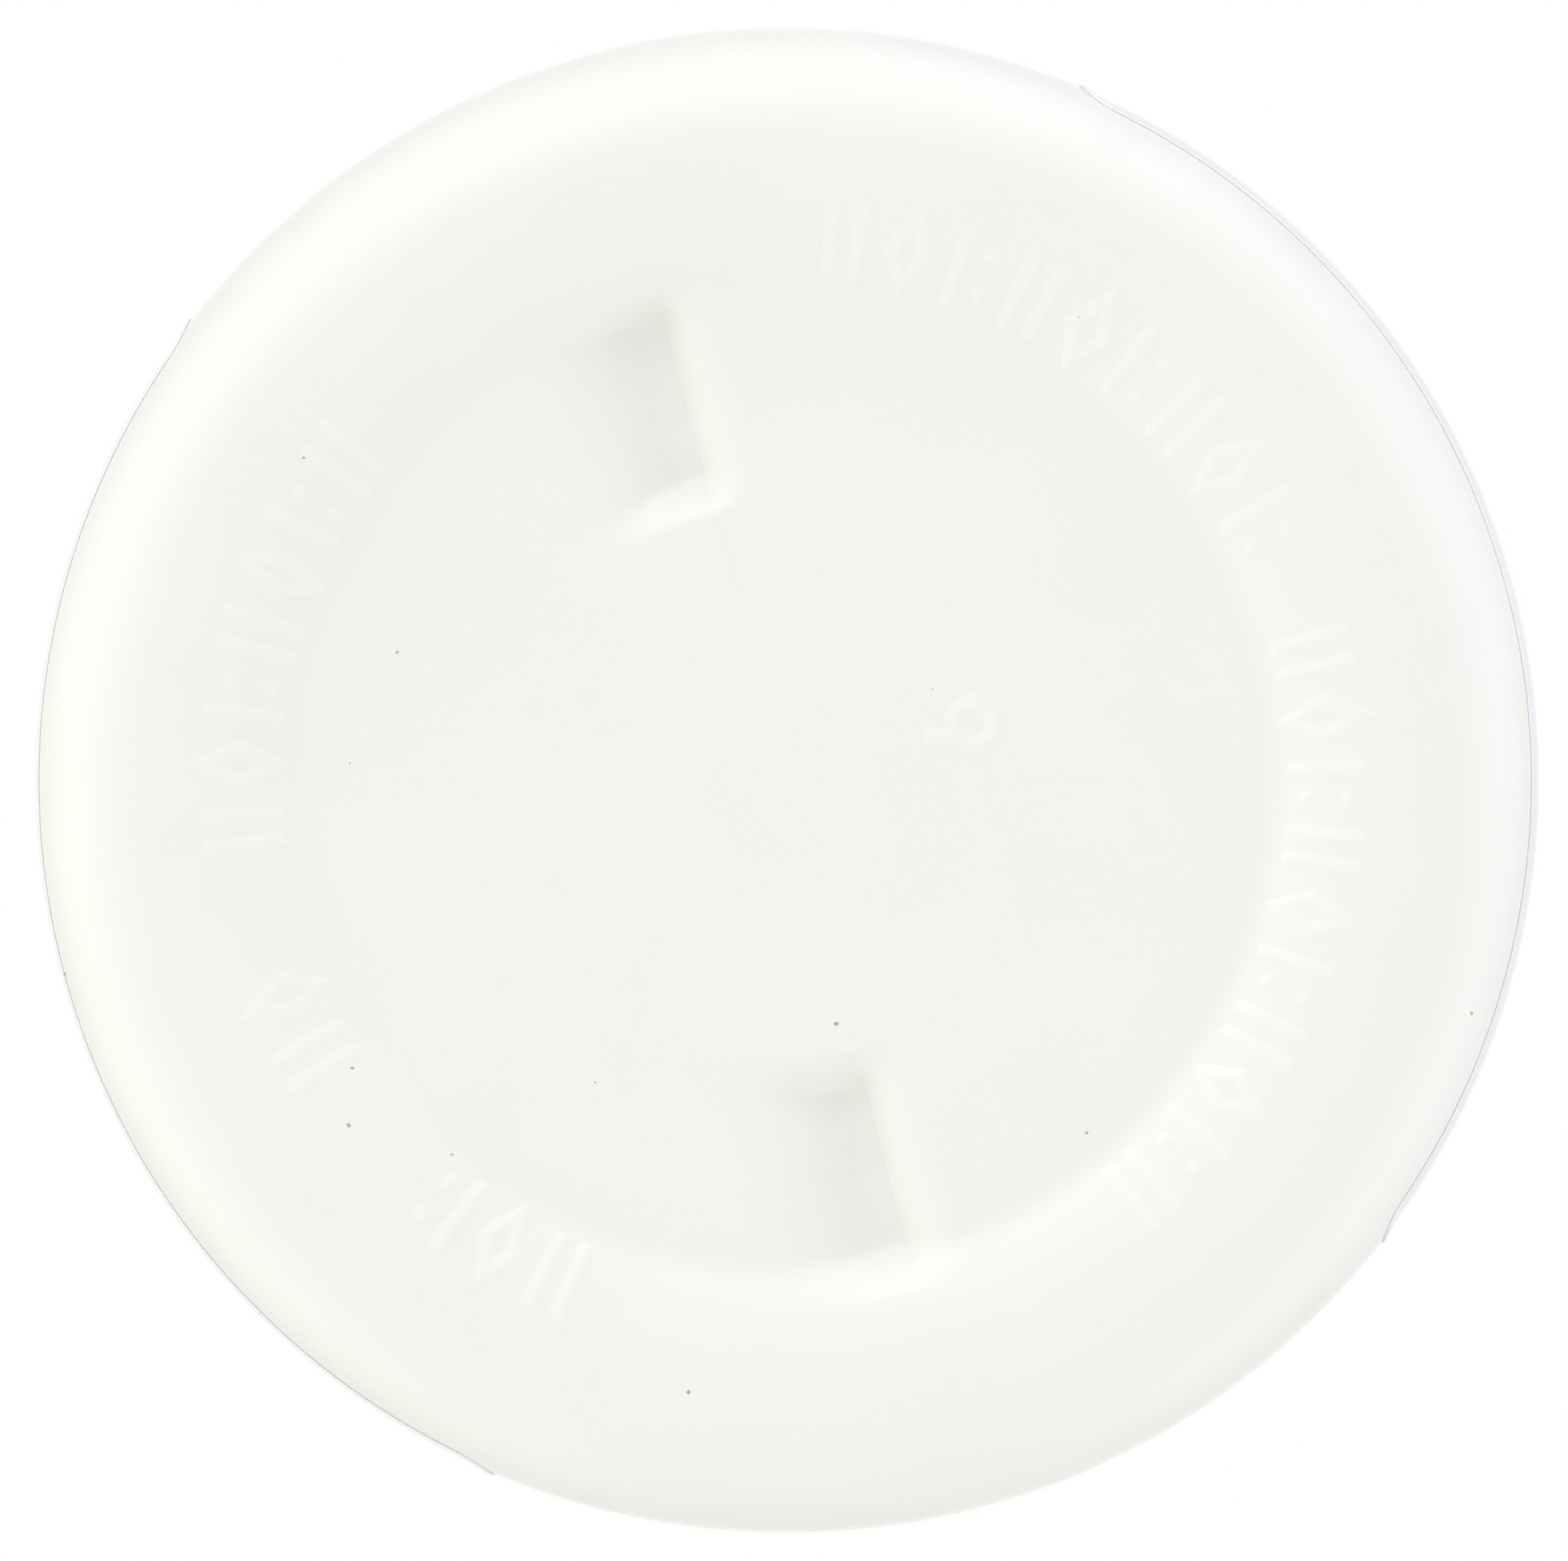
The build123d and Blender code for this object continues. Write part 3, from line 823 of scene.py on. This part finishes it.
def dashes(tree, across, up, pitch, share, low, high):
    """A row of dashes between two heights, whose lengths vary."""
    cell = calc(tree, "DIVIDE", across, pitch)
    draw = add_node(tree, "ShaderNodeTexWhiteNoise", {"W": calc(tree, "FLOOR", cell)},
                    noise_dimensions="1D").outputs[0]
    filled = calc(tree, "LESS_THAN", calc(tree, "FRACT", cell), calc(tree, "MULTIPLY", draw, share))
    return calc(tree, "MULTIPLY", filled, band(tree, up, low, high))


def make_label_print(name, panels):
    """White film with a navy keyline, a pale plaque of lather bubbles, and rows of plain dashes."""
    material, tree, shader, position = new_material(name, IOR=1.5, Coat_Roughness=0.12)
    uv = add_node(tree, "ShaderNodeUVMap", uv_map="print").outputs[0]
    across, up = add_node(tree, "ShaderNodeSeparateXYZ", {0: uv}).outputs[:2]
    height, half_width = (label_top - label_bottom) * MM, label_half_angle * body_radius * MM
    middle = height / 2
    white, navy = (0.930, 0.940, 0.945, 1), (0.020, 0.045, 0.140, 1)
    pale, foam = (0.60, 0.76, 0.88, 1), (0.93, 0.95, 0.96, 1)
    whole = frame_at(tree, across, up, (0, middle), half_width, middle, label_corner_radius * MM)
    keyline_inset, keyline_width = 0.0020, 0.0003
    ink = band(tree, whole, keyline_inset, keyline_inset + keyline_width)
    colour = white
    for place, size, round_corner in panels:
        inside = frame_at(tree, across, up, place, *size, round_corner)
        bubbles = add_node(tree, "ShaderNodeTexVoronoi", {"Vector": uv, "Scale": 330.0, "Randomness": 0.9})
        film = band(tree, bubbles.outputs["Distance"], 0.30, 0.38, 0.02)
        lather = mix(tree, film, pale, foam)
        colour = mix(tree, ramp(tree, inside, -0.00003, 0.00003), colour, lather)
        ink = calc(tree, "MAXIMUM", ink, band(tree, inside, 0.0006, 0.0009))
    for low, pitch, share in ((0.0042, 0.0021, 0.8), (0.0288, 0.0043, 0.9), (0.0308, 0.0017, 0.7)):
        row = dashes(tree, across, up, pitch, share, low, low + 0.0007)
        row = calc(tree, "MULTIPLY", row, ramp(tree, whole, 0.0060, 0.0061))
        ink = calc(tree, "MAXIMUM", ink, row)
    printed = add_node(tree, "ShaderNodeAttribute", attribute_name="printed").outputs["Fac"]
    ink = calc(tree, "MULTIPLY", ink, printed)
    colour = mix(tree, printed, white, colour)
    tree.links.new(mix(tree, ink, colour, navy), shader.inputs["Base Color"])
    wear = effect(tree, scuffs, position, Amount=0.6)
    tree.links.new(calc(tree, "MULTIPLY_ADD", wear["Rubbed"], 0.10, 0.24), shader.inputs["Roughness"])
    tree.links.new(calc(tree, "MULTIPLY_ADD", ink, 0.25, 0.35), shader.inputs["Coat Weight"])
    skin = effect(tree, moulded_skin, position, Grain=600.0, Grain_Depth=2e-6, Wave=140.0, Wave_Depth=1e-5)
    bumped(tree, shader, calc(tree, "MULTIPLY_ADD", ink, 1.5e-6, skin["Height"]))
    return material


front_panels = [((0.0, 0.0170), (0.0235, 0.0090), 0.0030)]
back_panels = [((-0.0165, 0.0170), (0.0120, 0.0090), 0.0015), ((0.0165, 0.0170), (0.0120, 0.0090), 0.0015)]
front_film.data.materials.append(make_label_print("front_print", front_panels))
back_film.data.materials.append(make_label_print("back_print", back_panels))
print("labels", len(front_panels), "panel in front,", len(back_panels), "behind")

# %% [markdown]
# ## Threads
#
# A thread is a spiral with a trapezoid profile, whose ends fade into the wall. The neck's ridge points
# outward and the cap's inward, and both climb by one pitch a turn.

# %% Thread generator
def make_thread():
    """A right-hand ridge round the axis, from a start angle. Its profile is a trapezoid set in the wall."""
    tree, given = new_generator("thread", Radius=0.03, Pitch=0.004, Turns=1.0, Start_Angle=0.0,
                                Start_Height=0.0,
                                Root=0.002, Crest=0.001, Depth=0.001, Inward=False)
    rise = calc(tree, "MULTIPLY", given["Pitch"], given["Turns"])
    spiral = add_node(tree, "GeometryNodeCurveSpiral", {
        "Resolution": 180, "Rotations": given["Turns"], "Start Radius": given["Radius"],
        "End Radius": given["Radius"], "Height": rise, "Reverse": True}).outputs[0]
    upright = add_node(tree, "GeometryNodeSetCurveNormal", {0: spiral}, mode="Z_UP").outputs[0]
    buried = 0.3
    overlap = calc(tree, "MULTIPLY", given["Depth"], buried)
    full_depth = calc(tree, "ADD", given["Depth"], overlap)
    profile = add_node(tree, "GeometryNodeCurvePrimitiveQuadrilateral", {
        "Height": full_depth, "Bottom Width": given["Root"], "Top Width": given["Crest"], "Offset": 0.0},
        mode="TRAPEZOID").outputs[0]
    outward = calc(tree, "SUBTRACT", calc(tree, "MULTIPLY", full_depth, 0.5), overlap)
    rounded = add_node(tree, "GeometryNodeFilletCurve", {0: profile, "Count": 3, "Radius": 0.00018},
                       mode="POLY")
    moved = add_node(tree, "GeometryNodeTransform", {
        0: rounded.outputs[0], "Translation": add_node(tree, "ShaderNodeCombineXYZ",
                                                       {"Y": outward}).outputs[0]})
    turn = add_node(tree, "GeometryNodeSwitch", {0: given["Inward"], 1: -math.pi / 2, 2: math.pi / 2},
                    input_type="FLOAT").outputs[0]
    facing = add_node(tree, "GeometryNodeTransform", {
        0: moved.outputs[0], "Rotation": add_node(tree, "ShaderNodeCombineXYZ", {"Z": turn}).outputs[0]})
    along = add_node(tree, "GeometryNodeSplineParameter").outputs["Factor"]
    to_end = calc(tree, "MINIMUM", along, calc(tree, "SUBTRACT", 1.0, along))
    fade = ramp(tree, to_end, -0.004, 0.045, 0.12, 1.0)
    ridge = add_node(tree, "GeometryNodeCurveToMesh", {
        0: upright, 1: facing.outputs[0], "Scale": fade, "Fill Caps": True}).outputs[0]
    place = add_node(tree, "ShaderNodeCombineXYZ", {"Z": given["Start_Height"]}).outputs[0]
    spin = add_node(tree, "ShaderNodeCombineXYZ", {"Z": given["Start_Angle"]}).outputs[0]
    placed = add_node(tree, "GeometryNodeTransform", {0: ridge, "Translation": place,
                                                      "Rotation": spin}).outputs[0]
    end_generator(tree, given, placed)
    return tree


thread = make_thread()
neck_thread_start = rim_height - 2.2 - 1.25 * thread_pitch
neck_thread = grow("neck_thread", thread, jar_plastic, Radius=neck_radius * MM, Pitch=thread_pitch * MM,
                   Turns=1.25,
                   Start_Angle=0.0, Start_Height=neck_thread_start * MM, Root=2.2 * MM, Crest=0.9 * MM,
                   Depth=1.1 * MM, Inward=False)
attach(neck_thread, "jar")
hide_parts("jar_body")
cap_inner_radius, cap_start_angle = cap_radius - 1.6, math.radians(95)
cap_thread_start = neck_thread_start - 1.5 + thread_pitch * cap_start_angle / (2 * math.pi)
cap_thread = grow("cap_thread", thread, cap_plastic, Radius=cap_inner_radius * MM, Pitch=thread_pitch * MM,
                  Turns=1.0,
                  Start_Angle=cap_start_angle, Start_Height=cap_thread_start * MM, Root=1.9 * MM,
                  Crest=0.8 * MM,
                  Depth=1.05 * MM, Inward=True)

# %% [markdown]
# ## Cap
#
# The cap is one turned cup with a recessed top, the small scar of its moulding gate in the middle, and 120
# ribs round the skirt that stop short of the top edge.

# %% Cap shell
skirt_radius = cap_radius - 0.45
cap_ceiling = cap_top - 1.5
edge = 1.2
recess_radius, recess_depth = 32.0, 0.3
cap_outline = [(r, cap_ceiling) for r in np.linspace(4, cap_inner_radius - 0.6, 8)]
cap_outline += arc((cap_inner_radius - 0.5, cap_ceiling - 0.5), 0.5, 90, 0, 4)
cap_outline += [(cap_inner_radius, z) for z in np.linspace(cap_ceiling - 2, cap_bottom + 1, 6)]
cap_outline += arc((cap_inner_radius + 0.3, cap_bottom + 0.3), 0.3, 180, 270, 4)
cap_outline += arc((cap_radius - 0.3, cap_bottom + 0.3), 0.3, 270, 360, 4)
cap_outline += [(cap_radius, cap_bottom + 0.8), (skirt_radius, cap_bottom + 1.1)]
cap_outline += [(skirt_radius, z) for z in np.linspace(cap_bottom + 2, cap_top - 2.9, 6)]
cap_outline += [(skirt_radius + 0.05, cap_top - 2.6), (cap_radius, cap_top - 2.2)]
cap_outline += arc((cap_radius - edge, cap_top - edge), edge, 0, 90, 8)
cap_outline += arc((recess_radius + 0.55, cap_top - 0.25), 0.25, 90, 150, 4)
cap_outline += arc((recess_radius - 0.1, cap_top - recess_depth + 0.25), 0.25, 330, 270, 4)
cap_outline += [(r, cap_top - recess_depth) for r in np.linspace(30, 3.4, 9)]
gate_height = 0.18
cap_outline += [(1.1, cap_top - recess_depth), (0.9, cap_top - recess_depth + gate_height),
                (0.4, cap_top - recess_depth + gate_height)]
cap_shell = skinned("cap_shell", turned(cap_outline, 240), cap_ceiling, cap_top - recess_depth + gate_height)
cap_shell.data.materials.append(cap_plastic)
report(cap_shell)

# %% Ribs
def make_ribs():
    """Upright rounded ribs round the skirt, a little narrower towards their tops."""
    tree, given = new_generator("ribs", Count=120, Radius=0.036, Bottom=0.046, Height=0.01, Width=0.001,
                                Depth=0.0005)
    circle = add_node(tree, "GeometryNodeMeshCircle", {"Vertices": given["Count"], "Radius": given["Radius"]})
    top = add_node(tree, "ShaderNodeCombineXYZ", {"Z": given["Height"]}).outputs[0]
    spine = add_node(tree, "GeometryNodeCurvePrimitiveLine", {"End": top}).outputs[0]
    points = add_node(tree, "GeometryNodeResampleCurve", {0: spine, "Count": 10}).outputs[0]
    profile = add_node(tree, "GeometryNodeCurvePrimitiveQuadrilateral", {
        "Height": given["Depth"], "Bottom Width": given["Width"],
        "Top Width": calc(tree, "MULTIPLY", given["Width"], 0.72), "Offset": 0.0},
        mode="TRAPEZOID").outputs[0]
    rounded = add_node(tree, "GeometryNodeFilletCurve", {0: profile, "Count": 3, "Radius": 0.00022},
                       mode="POLY")
    along = add_node(tree, "GeometryNodeSplineParameter").outputs["Factor"]
    narrowing = ramp(tree, along, 0.86, 1.02, 1.0, 0.45)
    rib = add_node(tree, "GeometryNodeCurveToMesh", {
        0: points, 1: rounded.outputs[0], "Scale": narrowing, "Fill Caps": True}).outputs[0]
    number = add_node(tree, "GeometryNodeInputIndex").outputs[0]
    turn = calc(tree, "MULTIPLY", number, calc(tree, "DIVIDE", 2 * math.pi, given["Count"]))
    euler = add_node(tree, "ShaderNodeCombineXYZ", {"Z": calc(tree, "SUBTRACT", turn,
                                                              math.pi / 2)}).outputs[0]
    rotation = add_node(tree, "FunctionNodeEulerToRotation", {0: euler}).outputs[0]
    ring = add_node(tree, "GeometryNodeInstanceOnPoints", {
        "Points": circle.outputs[0], "Instance": rib, "Rotation": rotation}).outputs[0]
    lift = add_node(tree, "ShaderNodeCombineXYZ", {"Z": given["Bottom"]}).outputs[0]
    end_generator(tree, given, add_node(tree, "GeometryNodeTransform", {0: ring,
                                                                        "Translation": lift}).outputs[0])
    return tree


rib_depth = 0.65
ribs = grow("cap_ribs", make_ribs(), cap_plastic, Count=120, Radius=(cap_radius - rib_depth / 2) * MM,
            Bottom=(cap_bottom + 0.6) * MM, Height=(cap_top - 2.4 - cap_bottom - 0.6) * MM, Width=1.1 * MM,
            Depth=rib_depth * MM)
for piece in (cap_shell, cap_thread, ribs):
    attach(piece, "cap")
    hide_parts("screw_cap")

# %% [markdown]
# ## Liner and soap
#
# The liner is a disc of foam that has taken the print of the rim it seals on. The soap is a pressed puck:
# its top has a shallow dish to start the lather in, a ring of beads in a channel, and a groove outside
# them. Its edges are a little worn and its skin is waxy, with a faint grain from pressing.

# %% Liner
def make_liner_foam():
    material, tree, shader, position = new_material("liner_foam", IOR=1.45, Roughness=0.7)
    cells = add_node(tree, "ShaderNodeTexVoronoi", {"Vector": position, "Scale": 2600.0}).outputs["Distance"]
    drift = effect(tree, mottle, position, Size=60.0)["Share"]
    tree.links.new(mix(tree, drift, (0.84, 0.84, 0.82, 1), (0.89, 0.89, 0.87, 1)),
                   shader.inputs["Base Color"])
    bumped(tree, shader, calc(tree, "MULTIPLY", cells, 4e-5))
    return material


rim_middle = (neck_radius + bore_radius) / 2
press_depth, press_half_width = 0.12, 1.0
press_line = np.linspace(-1.6, 1.6, 17)
pressed = [(rim_middle + x, liner_bottom + press_depth * (1 - eased(abs(x), press_half_width - 0.3,
                                                                       press_half_width + 0.3)))
           for x in press_line]
liner_outline = [(r, liner_bottom) for r in np.linspace(3, rim_middle - 1.8, 10)] + pressed
liner_outline += arc((liner_radius - 0.15, liner_bottom + 0.15), 0.15, 270, 360, 3)
liner_outline += arc((liner_radius - 0.15, liner_top - 0.15), 0.15, 0, 90, 3)
liner_outline += [(r, liner_top) for r in np.linspace(liner_radius - 2, 3, 10)]
liner = skinned("liner_disc", turned(liner_outline, 192), liner_bottom, liner_top)
liner.data.materials.append(make_liner_foam())
report(liner)
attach(liner, "liner")
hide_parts("cap_liner")

# %% Soap
def make_soap_skin():
    material, tree, shader, position = new_material(
        "soap", IOR=1.46, Subsurface_Weight=0.25, Subsurface_Scale=0.002, Sheen_Weight=0.0)
    shader.inputs["Subsurface Radius"].default_value = (1.0, 0.75, 0.5)
    drift = effect(tree, mottle, position, Size=120.0)["Share"]
    cream = mix(tree, drift, (0.83, 0.765, 0.63, 1), (0.87, 0.815, 0.70, 1))
    bloom = ramp(tree, noise_value(tree, position, 420.0, 5.0, 0.65), 0.52, 0.72)
    tree.links.new(mix(tree, calc(tree, "MULTIPLY", bloom, 0.5), cream, (0.91, 0.885, 0.82, 1)),
                   shader.inputs["Base Color"])
    tree.links.new(calc(tree, "MULTIPLY_ADD", bloom, 0.18, 0.44), shader.inputs["Roughness"])
    skin = effect(tree, moulded_skin, position, Grain=1500.0, Grain_Depth=2.5e-5, Wave=160.0, Wave_Depth=8e-5)
    wear = effect(tree, scuffs, position, Amount=1.0)
    bumped(tree, shader, calc(tree, "MULTIPLY_ADD", wear["Scratches"], -2e-5, skin["Height"]))
    return material


soap_skin = make_soap_skin()
soap_edge, dish_radius, dish_depth = 1.6, 22.0, 1.2
groove_radius, groove_half_width, groove_depth = 26.1, 0.6, 0.5
bead_ring_radius, bead_radius = 24.0, 0.55
dish_curve = (dish_radius**2 + dish_depth**2) / (2 * dish_depth)
soap_outline = [(r, puck_bottom) for r in np.linspace(3, puck_radius - soap_edge - 0.8, 8)]
soap_outline += arc((puck_radius - soap_edge, puck_bottom + soap_edge), soap_edge, 270, 360, 10)
soap_outline += [(puck_radius, z) for z in np.linspace(puck_bottom + 3, puck_top - 3, 14)]
soap_outline += arc((puck_radius - soap_edge, puck_top - soap_edge), soap_edge, 0, 90, 10)
groove_line = np.linspace(0.9, -0.9, 17)
soap_outline += [(groove_radius + x, puck_top - groove_depth * (1 - eased(abs(x), groove_half_width - 0.35,
                                                                            groove_half_width + 0.2)))
                 for x in groove_line]
soap_outline += [(bead_ring_radius + x, puck_top - bead_radius * (1 - eased(abs(x), bead_radius,
                                                                            bead_radius + 0.4)))
                 for x in groove_line * 1.15]
soap_outline += [(dish_radius + 0.8, puck_top), (dish_radius + 0.3, puck_top - 0.004)]
soap_outline += [(r, puck_top - dish_depth + dish_curve - math.sqrt(dish_curve**2 - r**2))
                 for r in np.linspace(dish_radius - 0.3, 0.8, 24)]
soap_rings = turned(soap_outline, 256)
soap_radius = np.hypot(soap_rings[..., 0], soap_rings[..., 1])
near_edge = eased(soap_radius, puck_radius - 2.2, puck_radius - 0.4)
near_edge *= 1 - eased(puck_top - soap_rings[..., 2], 1.5, 3.5) * eased(soap_rings[..., 2] - puck_bottom,
                                                                        1.5, 3.5)
worn = np.array([[noise.noise(Vector(point) * 0.22) + 0.5 * noise.noise(Vector(point) * 0.7) for point in ring]
                 for ring in soap_rings.tolist()])
shrink = 1 - np.clip(0.35 + worn, 0, 1) * 0.35 * near_edge / np.maximum(soap_radius, 1)
soap_rings[..., :2] *= shrink[..., None]
soap = skinned("soap_cake", soap_rings, puck_bottom, puck_top - dish_depth)
soap.data.materials.append(soap_skin)
report(soap)

# %% Beads round the dish
def make_beads():
    """Round beads in a ring, half sunk in the floor of their channel."""
    tree, given = new_generator("beads", Count=60, Radius=0.024, Height=0.03, Bead=0.0005)
    circle = add_node(tree, "GeometryNodeMeshCircle", {"Vertices": given["Count"], "Radius": given["Radius"]})
    ball = add_node(tree, "GeometryNodeMeshUVSphere", {"Segments": 20, "Rings": 12, "Radius": given["Bead"]})
    ring = add_node(tree, "GeometryNodeInstanceOnPoints", {
        "Points": circle.outputs[0], "Instance": ball.outputs[0]}).outputs[0]
    lift = add_node(tree, "ShaderNodeCombineXYZ", {"Z": given["Height"]}).outputs[0]
    end_generator(tree, given, add_node(tree, "GeometryNodeTransform", {0: ring,
                                                                        "Translation": lift}).outputs[0])
    return tree


beads = grow("soap_beads", make_beads(), soap_skin, Count=84, Radius=bead_ring_radius * MM,
             Height=(puck_top - bead_radius) * MM, Bead=bead_radius * MM)
for piece in (soap, beads):
    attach(piece, "puck")
    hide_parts("soap_puck")
print("soap", round(puck_top - puck_bottom, 1), "mm high")
